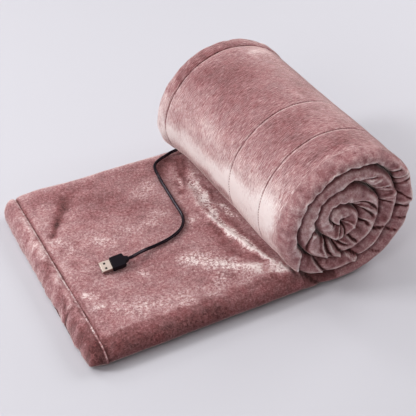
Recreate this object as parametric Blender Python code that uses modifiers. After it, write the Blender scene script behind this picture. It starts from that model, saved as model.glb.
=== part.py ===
"""Electric heated blanket, folded lengthwise in four and partly rolled up, with its short lead.

Metres, +Z up. The blanket lies along X: the free end of the folded strip is at -X and the
wound roll at +X. The origin is on the floor under the middle of the cloth.
The strip's section is the cloth going back and forth in its four plies. It is lofted along the
tail and on round the winding, so the roll is a true spiral with a narrow gap between its turns.
"""
from math import atan2, cos, hypot, radians, sin

import bmesh
import bpy
from mathutils import Euler, Matrix, Vector

MM = 0.001

# ---- the folded strip ----
STRIP_WIDTH = 275 * MM          # a quarter of the blanket's 1.1 m width
STRIP_THICKNESS = 25 * MM       # four plies of plush, lying flat
CLOTH_LENGTH = 376.4 * MM       # tail end to the roll's far side
TAIL_END_X = -CLOTH_LENGTH / 2
TAIL_STEPS = 13
TURN_GAP = 1.2 * MM             # between one turn and the next

# ---- hems ----
END_SETBACK = 5 * MM            # the upper plies end further in than the lowest one
END_HEM = 18.7 * MM             # hem band across the tail's end
SEAM_DEPTH = 2.4 * MM

# ---- the winding: a row for each eighth of a turn, about the roll's axis ----
AXIS_X = TAIL_END_X + 284.7 * MM
AXIS_Z = 82.5 * MM
WIND_START = -90                # straight under the axis, in degrees
WIND_ROW = 45
WIND_STEP = 12
OUTER_RADIUS_MM = (
    # bottom  lower right  right  upper right  top  upper left  left  lower left
    82.5, 90.5, 92.0, 86.2, 78.7, 70.5, 67.7, 71.5,
    65.0, 66.5, 68.0, 68.8, 62.7, 55.0, 51.7, 47.5,
    47.0, 48.2, 47.9, 45.0, 41.5, 36.3, 27.5, 22.5,
    22.8, 22.3, 21.3, 19.5, 20.5, 21.5,
)
WIND_END = WIND_START + WIND_ROW * (len(OUTER_RADIUS_MM) - 1)
CORE_PLY = 19 * MM              # strip's thickness in the last, innermost turn
CORE_HOLE = 3.2 * MM
PINCH_ANGLE = 235               # where turn two comes down on the tail
PINCH_STEP = 9

# ---- the far end of the roll is wider and lower than the near end ----
FAR_WIDER = 0.055
FAR_LOWER = 0.035
FAR_AXIS_SHIFT = -4.8 * MM
FLARE = 6.5 * MM                # the far hem stands out to the left, low on the roll
FLARE_ANGLE = radians(200)
FLARE_FROM_Y = 85 * MM
ROLL_BLEND = (-30 * MM, 25 * MM)    # the change fades in along X under the roll

# ---- ridges and troughs on the tail: from x, y to x, y, half width and height, in mm ----
TAIL_RELIEF_MM = (
    # x1, y1, x2, y2, half_width, height
    (49, -125, 6, -84, 15, 2.0),
    (6, -84, 9, 10, 13, 1.8),
    (6, -84, -44, -58, 15, 1.6),
    (4, 110, 15, 35, 14, -2.6),
    (-135, 112, -145, 45, 13, -2.2),
    (-159, -20, -119, -95, 20, 1.2),
)

RELIEF_TO_X = 1 * MM            # beyond it the tail runs in under the roll

# ---- across the strip: places are shares of its thickness, from its outer face to its inner ----
PLY_LOW = (0.0, 0.26, 0.52, 0.78)
PLY_HIGH = (0.22, 0.48, 0.74, 1.0)
FACE_OUTER_Y = [y * MM for y in (119.6, 112, 40, -40, -105)]
FACE_INNER_Y = [y * MM for y in (-98, -70, -35, 0, 35, 70, 105)]
NEAR_FOLD = (
    # share of thickness, mm in from the edge on the tail, mm in on the roll
    (0.00, 24.0, 11.0),
    (0.05, 12.5, 4.5),
    (0.19, 4.8, 0.6),
    (0.39, 0.6, 0.4),
    (0.61, 0.6, 2.6),
    (0.81, 4.8, 6.0),
    (0.95, 12.5, 10.5),
    (1.00, 24.0, 17.0),
)
PUCKER = 2.6 * MM               # how far the roll's folded edges draw in, here and there
TAIL_PUCKER = 0.8 * MM

# ---- lead ----
CORD_DIAMETER = 3.8 * MM
CORD_STEP = 9 * MM
CORD_ROUTE_MM = (
    (31.5, 125.0, 29.2), (26.0, 125.2, 28.2), (17.5, 122.5, 27.7), (8.0, 119.0, 27.7),
    (-0.5, 113.5, 27.7), (-5.0, 105.0, 27.7), (-7.3, 92.0, 27.7), (-9.6, 73.6, 27.7),
    (-11.7, 50.7, 27.9), (-13.8, 28.5, 28.3), (-15.2, 13.0, 28.3), (-19.0, 1.5, 28.0),
    (-26.6, -8.0, 27.8), (-38.0, -14.6, 27.8), (-50.3, -18.6, 27.9), (-66.0, -21.8, 28.6),
    (-80.0, -24.6, 30.2), (-89.5, -28.4, 31.9),
)

# ---- plug, set by the middle of its body's front face ----
PLUG_FRONT = Vector((-119.7, -30.3, 31.4)) * MM
PLUG_HEADING = radians(177)     # the way its tip points, about +Z from +X
PLUG_NOSE_DOWN = radians(5)
PLUG_ROLL = radians(-20)        # its near side sinks into the pile
BODY_SIZE = Vector((14.5, 14.2, 7.6)) * MM
BODY_ROUND = 1.0 * MM
NECK_LENGTH = 5.0 * MM
NECK_FRONT = Vector((0, 7.6, 5.0)) * MM
NECK_BACK = Vector((0, 4.9, 4.7)) * MM
SHELL_SIZE = Vector((11.8, 12.0, 4.5)) * MM
SHELL_WALL = 0.35 * MM
SHELL_HOLE = 2.3 * MM
SHELL_HOLE_BACK = 5.2 * MM      # hole's middle behind the tip
SHELL_HOLE_SIDE = 2.9 * MM
TONGUE_SIZE = Vector((10.6, 10.9, 1.9)) * MM
TONGUE_DROP = -0.75 * MM        # the tongue lies off the shell's middle
CLEARANCE = 0.3 * MM


def srgb(hex_code):
    """Linear colour of a #RRGGBB code."""
    parts = [int(hex_code[i:i + 2], 16) / 255 for i in (1, 3, 5)]
    return [c / 12.92 if c <= 0.04045 else ((c + 0.055) / 1.055) ** 2.4 for c in parts] + [1.0]


def material(name, hex_code, roughness, metallic=0.0):
    mat = bpy.data.materials.new(name)
    mat.use_nodes = True
    shader = mat.node_tree.nodes["Principled BSDF"]
    shader.inputs["Base Color"].default_value = srgb(hex_code)
    shader.inputs["Roughness"].default_value = roughness
    shader.inputs["Metallic"].default_value = metallic
    return mat


def clamp01(value):
    return min(1.0, max(0.0, value))


def smooth(value, low, high):
    """0 below low, 1 above high, with a soft change between."""
    t = clamp01((value - low) / (high - low))
    return t * t * (3 - 2 * t)


def catmull(a, b, c, d, t):
    """A point on the smooth curve from b to c, with a and d its neighbours."""
    return 0.5 * (2 * b + (c - a) * t + (2 * a - 5 * b + 4 * c - d) * t ** 2
                  + (3 * b - a - 3 * c + d) * t ** 3)


# ---------------------------------------------------------------- the cloth

def outer_radius(angle):
    """Radius of the strip's outer face at a winding angle in degrees."""
    last = len(OUTER_RADIUS_MM) - 1
    place = (angle - WIND_START) / WIND_ROW
    row = min(int(place), last - 1)
    rows = [OUTER_RADIUS_MM[min(max(row + k, 0), last)] for k in (-1, 0, 1, 2)]
    return catmull(*rows, place - row) * MM


def inner_radius(angle):
    """Radius of the strip's inner face: it lies on the next turn in."""
    if angle + 360 <= WIND_END + WIND_STEP:
        return outer_radius(min(angle + 360, WIND_END)) + TURN_GAP
    return max(CORE_HOLE, outer_radius(angle) - CORE_PLY)


def on_ray(angle, radius):
    a = radians(angle)
    return Vector((AXIS_X + radius * cos(a), 0, AXIS_Z + radius * sin(a)))


class Station:
    """One place along the strip: its outer and inner face and how its section is shaped there."""

    def __init__(self, outer, inner, drawn_in=0.0, ply_share=1.0, rolled=0.0):
        self.outer = outer
        self.inner = inner
        self.drawn_in = drawn_in        # both sides in from the full width
        self.ply_share = ply_share      # thickness of each ply, which rounds the cut end
        self.rolled = rolled            # 0 on the tail, 1 on the roll


def tail_stations():
    """Stations from the tail's end to the pinch, where turn two comes down on it."""
    t = STRIP_THICKNESS
    hem_rows = (
        # from the end, height of the top, drawn in at the sides, share of each ply
        (0.0, 0.86 * t, 9.0 * MM, 0.45),
        (1.5 * MM, 0.90 * t, 5.5 * MM, 0.85),
        (5.0 * MM, 0.94 * t, 2.5 * MM, 0.95),
        (11.0 * MM, 0.97 * t, 0.8 * MM, 0.95),
        (END_HEM - 3.5 * MM, 0.95 * t, 0.0, 1.0),
        (END_HEM, 0.96 * t - SEAM_DEPTH, 0.0, 1.0),
        (END_HEM + 3.5 * MM, t, 0.0, 1.0),
    )
    stations = []
    for back, top, drawn_in, ply_share in hem_rows:
        x = TAIL_END_X + back
        stations.append(Station(Vector((x, 0, 0)), Vector((x, 0, top)), drawn_in, ply_share))
    first = TAIL_END_X + END_HEM + 15 * MM
    last = on_ray(PINCH_ANGLE, outer_radius(PINCH_ANGLE)).x - 8 * MM
    for i in range(TAIL_STEPS):
        x = first + (last - first) * i / (TAIL_STEPS - 1)
        stations.append(Station(Vector((x, 0, 0)), Vector((x, 0, t))))
    return stations


def winding_stations():
    """Stations from the pinch, under the roll and round to its core."""
    stations = []
    for angle in range(PINCH_ANGLE, WIND_START + 360, PINCH_STEP):
        inner = on_ray(angle, outer_radius(angle) + TURN_GAP)
        stations.append(Station(Vector((inner.x, 0, 0)), inner))
    for angle in range(WIND_START, WIND_END + 1, WIND_STEP):
        outer = on_ray(angle, outer_radius(angle))
        outer.z = max(0.0, outer.z)
        inner = on_ray(angle, inner_radius(angle))
        rolled = smooth(angle, WIND_START, 0)
        stations.append(Station(outer, inner, ply_share=1 - 0.1 * rolled, rolled=rolled))
    return stations


def section():
    """The cloth's way across the strip: rows of (edge or face, mm in or y, share, ply).

    It starts at the outer ply's hem on the far side, folds at the near edge, at the far one
    and again inside the first fold, and comes back along the other side of the cloth.
    """
    ring = [("far", 3, 0.0, 0), ("outer", 0, 0.0, 0)]
    ring += [("near", row, share, None) for row, (share, *_) in enumerate(NEAR_FOLD)]
    ring += [("inner", 0, 1.0, 3)]
    ring += [("far", 8, 1.0, 3), ("far", 3.6, 0.94, None), ("far", 2.4, 0.76, None)]
    ring += [("far", 3.0, 0.58, None), ("far", 7, PLY_LOW[2], 2)]
    ring += [("inside", 27, PLY_LOW[2], 2), ("inside", 27, PLY_HIGH[1], 1)]
    ring += [("far", 5, PLY_HIGH[1], 1), ("far", 1.5, 0.37, 1), ("far", 5, PLY_LOW[1], 1)]
    ring += [("inside", 24, PLY_LOW[1], 1), ("inside", 19, 0.38, None)]
    ring += [("inside", 19, 0.62, None), ("inside", 24, PLY_HIGH[2], 2)]
    ring += [("far", 9, PLY_HIGH[2], 2), ("far", 9, PLY_LOW[3], 3)]
    ring += [("inside", 22, PLY_LOW[3], 3), ("inside", 14, 0.64, None)]
    ring += [("inside", 12, 0.36, None), ("inside", 16, PLY_HIGH[0], 0)]
    ring += [("far", 52.5, PLY_HIGH[0], 0), ("far", 3, PLY_HIGH[0], 0), ("far", 0, 0.11, 0)]
    whole = []
    for edge, value, share, ply in ring:
        if edge in ("outer", "inner"):
            places = FACE_OUTER_Y if edge == "outer" else FACE_INNER_Y
            whole += [(edge, y, share, ply) for y in places]
        else:
            whole.append((edge, value, share, ply))
    return whole


def relief(x, y):
    """Height of the tail's ridges and troughs at a place on its top."""
    total = 0.0
    for row in TAIL_RELIEF_MM:
        x1, y1, x2, y2, half_width, height = [value * MM for value in row]
        run = Vector((x2 - x1, y2 - y1))
        place = Vector((x - x1, y - y1))
        along = clamp01(place.dot(run) / run.length_squared)
        away = (place - run * along).length
        total += height * (1 - smooth(away, 0, half_width))
    return total


def hem_flare(point):
    """How far the outermost hem stands out to the left at a place on the roll."""
    right, up = point.x - AXIS_X, point.z - AXIS_Z
    facing = max(0.0, cos(atan2(up, right) - FLARE_ANGLE)) ** 3
    outermost = smooth(hypot(right, up), 52 * MM, 62 * MM)
    return FLARE * facing * outermost * smooth(point.y, FLARE_FROM_Y, STRIP_WIDTH / 2)


def settle_roll(point):
    """The far end of the roll is wider and lower; the tail stays as it is."""
    share = smooth(point.x, *ROLL_BLEND) * (point.y / STRIP_WIDTH + 0.5)
    point.x += (point.x - AXIS_X) * FAR_WIDER * share + FAR_AXIS_SHIFT * share
    point.z *= 1 - FAR_LOWER * share
    return point


def strip_point(station, index, ring_point):
    """Where one point of the section lies at one station."""
    edge, value, share, ply = ring_point
    on_tail = station.outer.z < MM
    if ply is not None:
        middle = (PLY_LOW[ply] + PLY_HIGH[ply]) / 2
        share = middle + (share - middle) * station.ply_share
    point = station.outer.lerp(station.inner, share)
    side = STRIP_WIDTH / 2 - station.drawn_in
    unevenness = 0.5 + 0.3 * sin(0.55 * index) + 0.2 * sin(1.31 * index)
    drawn_in = unevenness * (TAIL_PUCKER if on_tail else PUCKER)
    if edge == "near":
        _, on_flat, on_roll = NEAR_FOLD[value]
        point.y = -side + drawn_in + (on_flat + (on_roll - on_flat) * station.rolled) * MM
    elif edge == "inside":
        point.y = -side + drawn_in + value * MM
    elif edge == "far":
        point.y = side - value * MM
    else:
        point.y = value
    if edge == "outer" and value == FACE_OUTER_Y[0] and not on_tail:
        point += (station.inner - station.outer).normalized() * SEAM_DEPTH
    if ply == 0:
        point.x -= hem_flare(point) * station.rolled
    from_end = point.x - TAIL_END_X
    point.x += END_SETBACK * share * (1 - smooth(from_end, 0, END_HEM))
    if share > PLY_LOW[3] and on_tail and point.x < RELIEF_TO_X:
        point.z += relief(point.x, point.y)
    return settle_roll(point)


def make_blanket(mat):
    """A grid is bent into the strip's tube, sewn up along its seam and closed at both ends."""
    stations = tail_stations() + winding_stations()
    ring = section()
    bm = bmesh.new()
    bmesh.ops.create_grid(bm, x_segments=len(stations) - 1, y_segments=len(ring), size=0.5)
    for vert in bm.verts:
        i = round((vert.co.x + 0.5) * (len(stations) - 1))
        j = round((vert.co.y + 0.5) * len(ring)) % len(ring)
        vert.co = strip_point(stations[i], i, ring[j])
    bmesh.ops.remove_doubles(bm, verts=bm.verts, dist=0.01 * MM)
    rims = [edge for edge in bm.edges if edge.is_boundary]
    bmesh.ops.holes_fill(bm, edges=rims, sides=0)
    bmesh.ops.recalc_face_normals(bm, faces=bm.faces)
    return add_mesh("blanket", bm, mat)


# ---------------------------------------------------------------- the lead

def smooth_route(points, step):
    """Even points on a smooth curve through the route's own points."""
    ends = [2 * points[0] - points[1]] + points + [2 * points[-1] - points[-2]]
    fine = [points[0]]
    for a, b, c, d in zip(ends, ends[1:], ends[2:], ends[3:]):
        fine += [catmull(a, b, c, d, k / 16) for k in range(1, 17)]
    length = sum((q - p).length for p, q in zip(fine, fine[1:]))
    spacing = length / round(length / step)
    even = [fine[0]]
    walked = 0.0
    for p, q in zip(fine, fine[1:]):
        run = (q - p).length
        while walked + run >= spacing * len(even) and len(even) < round(length / spacing):
            even.append(p.lerp(q, (spacing * len(even) - walked) / run))
        walked += run
    return even + [fine[-1]]


def plug_frame():
    """The plug's place: its tip along +X, its top along +Z."""
    turn = Euler((PLUG_ROLL, PLUG_NOSE_DOWN, PLUG_HEADING), "XYZ").to_matrix().to_4x4()
    return Matrix.Translation(PLUG_FRONT) @ turn


def make_cord(mat):
    place = plug_frame()
    neck_end = place @ Vector((-BODY_SIZE.x - NECK_LENGTH - CLEARANCE, 0, 0))
    straight_end = place @ Vector((-BODY_SIZE.x - NECK_LENGTH - 4 * MM, 0, 0))
    route = [Vector(point) * MM for point in CORD_ROUTE_MM] + [straight_end]
    points = smooth_route(route, CORD_STEP) + [neck_end]
    curve = bpy.data.curves.new("cord", "CURVE")
    curve.dimensions = "3D"
    curve.bevel_depth = CORD_DIAMETER / 2
    curve.bevel_resolution = 2
    curve.use_fill_caps = True
    spline = curve.splines.new("POLY")
    spline.points.add(len(points) - 1)
    for target, point in zip(spline.points, points):
        target.co = (*point, 1)
    curve.materials.append(mat)
    return add_object("cord", curve)


def add_object(name, data):
    obj = bpy.data.objects.new(name, data)
    PARTS.objects.link(obj)
    return obj


def add_mesh(name, bm, mat):
    mesh = bpy.data.meshes.new(name)
    bm.to_mesh(mesh)
    bm.free()
    mesh.materials.append(mat)
    mesh.shade_smooth()
    mesh.set_sharp_from_angle(angle=radians(40))
    return add_object(name, mesh)


def block(size, middle):
    """A box as a new bmesh."""
    bm = bmesh.new()
    bmesh.ops.create_cube(bm, size=1, matrix=Matrix.Translation(middle) @ Matrix.Diagonal((*size, 1)))
    return bm


def cutter(name, size, middle, place):
    mesh = bpy.data.meshes.new(name)
    bm = block(size, middle)
    bm.to_mesh(mesh)
    bm.free()
    obj = bpy.data.objects.new(name, mesh)
    obj.matrix_world = place
    obj.hide_render = True
    obj.display_type = "WIRE"
    CUTTERS.objects.link(obj)
    return obj


def cut(obj, tool):
    boolean = obj.modifiers.new(tool.name, "BOOLEAN")
    boolean.operation = "DIFFERENCE"
    boolean.object = tool


def make_plug_body(mat):
    """Moulded body with a tapered neck at its back, where the cord goes in."""
    bm = block(BODY_SIZE, Vector((-BODY_SIZE.x / 2, 0, 0)))
    back = min(bm.faces, key=lambda face: face.calc_center_median().x)
    for size, step in ((NECK_FRONT, 0.9 * MM), (NECK_BACK, NECK_LENGTH - 0.9 * MM)):
        grown = bmesh.ops.extrude_discrete_faces(bm, faces=[back])
        back = grown["faces"][0]
        for vert in back.verts:
            vert.co.x -= step
            vert.co.y = size.y / 2 * (1 if vert.co.y > 0 else -1)
            vert.co.z = size.z / 2 * (1 if vert.co.z > 0 else -1)
    body = add_mesh("plug_body", bm, mat)
    bevel = body.modifiers.new("rounded edges", "BEVEL")
    bevel.width = BODY_ROUND
    bevel.segments = 3
    body.matrix_world = plug_frame()
    return body


def make_plug_shell(mat):
    """Bent sheet-metal sleeve, open at its tip, with two square catches in each wide face."""
    place = plug_frame()
    start = CLEARANCE
    shell = add_mesh("plug_shell", block(SHELL_SIZE, Vector((start + SHELL_SIZE.x / 2, 0, 0))), mat)
    shell.matrix_world = place
    bevel = shell.modifiers.new("bent corners", "BEVEL")
    bevel.width = 0.4 * MM
    bevel.segments = 2
    inside = SHELL_SIZE - Vector((0, 2, 2)) * SHELL_WALL
    middle = Vector((start + SHELL_SIZE.x / 2 + SHELL_WALL, 0, 0))
    cut(shell, cutter("mouth", inside, middle, place))
    hole_size = Vector((SHELL_HOLE, SHELL_HOLE, SHELL_SIZE.z * 2))
    for name, side in (("hole_near", 1), ("hole_far", -1)):
        hole = Vector((start + SHELL_SIZE.x - SHELL_HOLE_BACK, side * SHELL_HOLE_SIDE, 0))
        cut(shell, cutter(name, hole_size, hole, place))
    return shell


def make_plug_tongue(mat):
    """Flat insulating tongue inside the sleeve."""
    start = CLEARANCE * 2 + SHELL_WALL
    middle = Vector((start + TONGUE_SIZE.x / 2, 0, TONGUE_DROP))
    tongue = add_mesh("plug_tongue", block(TONGUE_SIZE, middle), mat)
    tongue.matrix_world = plug_frame()
    return tongue


for old in list(bpy.data.objects):
    bpy.data.objects.remove(old, do_unlink=True)

PARTS = bpy.data.collections.new("heated_blanket")
CUTTERS = bpy.data.collections.new("cutters")
bpy.context.scene.collection.children.link(PARTS)
bpy.context.scene.collection.children.link(CUTTERS)

make_blanket(material("dusty rose plush", "#A8767C", 0.9))
make_cord(material("black cord jacket", "#1B191C", 0.5))
black_plastic = material("black moulded plastic", "#262228", 0.45)
make_plug_body(black_plastic)
make_plug_shell(material("nickel plated steel", "#D8CBBE", 0.3, 1.0))
make_plug_tongue(black_plastic)
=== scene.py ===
"""Electric heated blanket of dusty rose plush, folded lengthwise in four and partly rolled up.

The cloth is one fine mesh. It has the solid's back-and-forth section, drawn along the tail and
round the winding, with its hems, sewn lines, pleats and creases worked in. The lead is a curve on
the solid's route, and the plug keeps its solids and gets its finishes here.
"""
from math import atan2, cos, exp, hypot, pi, radians, sin

import bmesh
import bpy
from mathutils import Euler, Matrix, Vector, noise


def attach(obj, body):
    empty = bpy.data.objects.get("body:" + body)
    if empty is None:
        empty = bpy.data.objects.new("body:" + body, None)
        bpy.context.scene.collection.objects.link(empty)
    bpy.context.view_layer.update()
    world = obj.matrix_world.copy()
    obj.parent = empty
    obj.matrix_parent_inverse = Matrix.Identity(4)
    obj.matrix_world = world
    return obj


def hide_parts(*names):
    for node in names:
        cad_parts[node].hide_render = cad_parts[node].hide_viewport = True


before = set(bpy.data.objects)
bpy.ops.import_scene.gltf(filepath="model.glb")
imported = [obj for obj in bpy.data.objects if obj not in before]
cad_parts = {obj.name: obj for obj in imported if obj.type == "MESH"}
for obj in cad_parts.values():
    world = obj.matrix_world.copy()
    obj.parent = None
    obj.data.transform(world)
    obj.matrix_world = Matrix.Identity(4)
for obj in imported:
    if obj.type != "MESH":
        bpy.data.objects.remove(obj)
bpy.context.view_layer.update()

MM = 0.001
BODY = "root"
noise.seed_set(5)               # else noise_vector differs from run to run

# ---- the folded strip, as the solid has it ----
STRIP_WIDTH = 275 * MM
STRIP_THICKNESS = 25 * MM
TAIL_END_X = -188.2 * MM
TURN_GAP = 1.2 * MM
END_HEM = 18.7 * MM             # hem band across the tail's end
HEM_SEAM_Y = 119.6 * MM         # seam of the hem on the roll's far side
SEWN_LINES_Y = (-81 * MM, -20.6 * MM)

HEM_END_ROWS = (
    # mm from the tail's end at the bottom and at the top, height of the top as a share, mm drawn in
    (3.0, 1.7, 0.03, 16.0), (3.2, 0.6, 0.09, 13.4),
    (3.4, 0.1, 0.18, 11.2), (3.6, 0.1, 0.29, 9.6),
    (3.8, 0.7, 0.42, 8.0), (4.2, 1.8, 0.56, 6.4),
    (5.0, 3.6, 0.70, 4.7), (6.4, 5.8, 0.83, 3.1),
    (8.6, 8.3, 0.92, 1.9), (11.0, 11.0, 0.975, 0.9),
    (13.4, 13.4, 0.98, 0.3), (15.6, 15.6, 0.94, 0.0),
    (17.2, 17.2, 0.905, 0.0), (18.1, 18.1, 0.88, 0.0),
    (18.7, 18.7, 0.85, 0.0), (19.1, 19.1, 0.88, 0.0),
    (20.2, 20.2, 0.94, 0.0), (22.2, 22.2, 0.965, 0.0),
    (24.4, 24.4, 0.99, 0.0), (26.8, 26.8, 1.0, 0.0),
)

# ---- the winding: a row for each eighth of a turn, about the roll's axis ----
AXIS_X = TAIL_END_X + 284.7 * MM
AXIS_Z = 82.5 * MM
WIND_START = -90
WIND_ROW = 45
OUTER_RADIUS_MM = (
    # bottom  lower right  right  upper right  top  upper left  left  lower left
    82.5, 90.5, 92.0, 86.2, 78.7, 70.5, 67.7, 71.5,
    65.0, 66.5, 68.0, 68.8, 62.7, 55.0, 51.7, 47.5,
    47.0, 48.2, 47.9, 45.0, 41.5, 36.3, 27.5, 22.5,
    22.8, 22.3, 21.3, 19.5, 20.5, 21.5, 7.0,
)
WIND_END = WIND_START + WIND_ROW * (len(OUTER_RADIUS_MM) - 1)
CORE_PLY = 19 * MM              # thickness of the strip at the core
CORE_HOLE = 1.6 * MM
CORE_OVERLAP = 12               # degrees past the core's end that still lie on the next turn in
PINCH_ANGLE = 235               # where the roll leaves the tail
ROLLED_PLY_SHARE = 0.9          # the turns press their plies thinner
# the far end is wider and lower by these shares, and the hem there flares out to the left
FAR_WIDER = 0.055
FAR_LOWER = 0.035
FAR_AXIS_SHIFT = -4.8 * MM
FLARE = 6.5 * MM
FLARE_ANGLE = radians(200)
FLARE_FROM_Y = 85 * MM
ROLL_BLEND = (-30 * MM, 25 * MM)  # the tail's shape turns to the roll's between these x
INNER_TURN_ANGLES = (215, 285)  # the outermost turn passes under the next one between these

# ---- across the strip: the plies lie between these shares of its thickness ----
PLY_LOW = (0.0, 0.26, 0.52, 0.78)
PLY_HIGH = (0.22, 0.48, 0.74, 1.0)
NEAR_FOLD = (
    # share of thickness, then mm in: on the tail, on the outer turn's upper left and lower right,
    # on the inner turns' upper left and lower right
    (0.00, 24.0, 17.0, 13.0, 13.0, 10.0),
    (0.05, 12.5, 12.5, 5.5, 7.5, 3.4),
    (0.19, 4.8, 6.5, 1.0, 3.2, 0.2),
    (0.39, 0.6, 2.6, 0.4, 0.9, 1.2),
    (0.61, 0.6, 0.6, 2.6, 0.0, 3.6),
    (0.81, 4.8, 0.2, 6.0, 0.8, 6.8),
    (0.95, 12.5, 5.0, 11.0, 6.0, 12.0),
    (1.00, 24.0, 17.0, 18.0, 18.0, 20.0),
)
FOLD_STEPS = 28
FOLD_BACK = 1.6 * MM            # how far the roll's folds lie back from the strip's side
OUTER_FACE_Y = (STRIP_WIDTH / 2 - 3 * MM, -105 * MM)
TOP_FACE_Y = (STRIP_WIDTH / 2 - 14 * MM, -98 * MM)
# open edges on the far side, from the bottom hem to the top one: mm in, share of thickness
BOTTOM_HEM = ((3.0, 0.22), (0.9, 0.19), (0.1, 0.14), (0.1, 0.08), (0.9, 0.03))
TOP_HEM = (
    (9.5, 1.0), (6.0, 0.985), (4.0, 0.95), (2.9, 0.88), (2.4, 0.76), (2.6, 0.66), (3.4, 0.58),
    (5.0, 0.535),
)
FOLDS_INSIDE = (
    # the way back through the inner plies: edge, mm in, share of thickness, ply
    ("far", 7.0, PLY_LOW[2], 2), ("inside", 27, PLY_LOW[2], 2), ("inside", 27, PLY_HIGH[1], 1),
    ("far", 5, PLY_HIGH[1], 1), ("far", 2.2, 0.46, 1), ("far", 1.5, 0.37, 1), ("far", 2.2, 0.28, 1),
    ("far", 5, PLY_LOW[1], 1), ("inside", 24, PLY_LOW[1], 1), ("inside", 20, 0.30, None),
    ("inside", 19, 0.38, None), ("inside", 19, 0.62, None), ("inside", 20, 0.70, None),
    ("inside", 24, PLY_HIGH[2], 2), ("far", 9, PLY_HIGH[2], 2), ("far", 9, PLY_LOW[3], 3),
    ("inside", 22, PLY_LOW[3], 3), ("inside", 14, 0.64, None), ("inside", 12, 0.36, None),
    ("inside", 16, PLY_HIGH[0], 0), ("far", 52.5, PLY_HIGH[0], 0),
)

# ---- how fine the cloth's mesh is ----
TAIL_SPACING = 2.4 * MM
TURN_SPACING = 2.2 * MM
FACE_SPACING = 5.5 * MM
TOP_SPACING = 3.4 * MM
UNDER_ROLL_STEP = 3             # degrees
# the faces between turns don't show, so only one column in four is kept there
KEPT_COLUMNS = 4
HIDDEN_OUTER_Y = (-100 * MM, 105 * MM)
HIDDEN_TOP_Y = (-80 * MM, 105 * MM)
WELD = 0.005 * MM

# ---- creases of the tail's top and of its hem, each along a line ----
TAIL_RIDGES_MM = (
    # x1, y1, x2, y2, half_width, height, sharpness
    (44, -122, 26, -62, 6, 3.2, 1.0), (26, -62, 15, -6, 6, 3.6, 1.0),
    (15, -6, 14, 22, 7, 2.6, 0.6), (14, 22, 22, 52, 8, 2.4, 0.5),
    (46, -125, 14, -98, 9, 2.6, 0.7), (14, -98, -18, -80, 11, 2.2, 0.4),
    (-18, -80, -44, -58, 12, 1.6, 0.2), (5, 112, 12, 74, 10, -1.5, 0.3),
    (36, 112, 28, 96, 6, -2.0, 0.4), (23, 86, 18, 76, 6, -2.0, 0.4),
    (14, 68, 8, 54, 6, -1.8, 0.3), (28, 90, 30, 46, 7, -2.2, 0.3),
    (-120, 103, -140, 75, 12, -1.6, 0.1), (-140, 75, -156, 50, 7, -2.0, 0.3),
    (-169.3, -36, -169.3, -126, 1.6, 3.6, 0.0), (-159, -20, -119, -95, 20, 1.2, 0.0),
    (-160, -55, -150, -75, 6, 0.8, 0.3),
)
HEM_NOTCH_Y = -64 * MM          # a nick in the hem's end, and its depth and half width
HEM_NOTCH_DEPTH = 2.6 * MM
HEM_NOTCH_HALF = 3 * MM
FAR_BULGE = 3 * MM              # the tail's far side stands out by this, so far from its end
FAR_BULGE_FROM_END = 42 * MM
FAR_BULGE_HALF = 26 * MM
HEM_WRINKLES_MM = (
    (-189, 46, -171, 62, 4, 0.9, 0.5), (-189, 16, -171, 40, 5, 1.0, 0.5),
    (-190, -36, -172, -12, 5, 1.1, 0.5), (-190, -72, -181, -60, 4, 1.4, 0.5),
    (-190, -64, -182, -55, 2.5, -3.0, 0.6), (-186, 96, -172, 104, 5, 0.7, 0.3),
    (-188, -95, -173, -84, 5, 0.8, 0.3),
)

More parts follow.
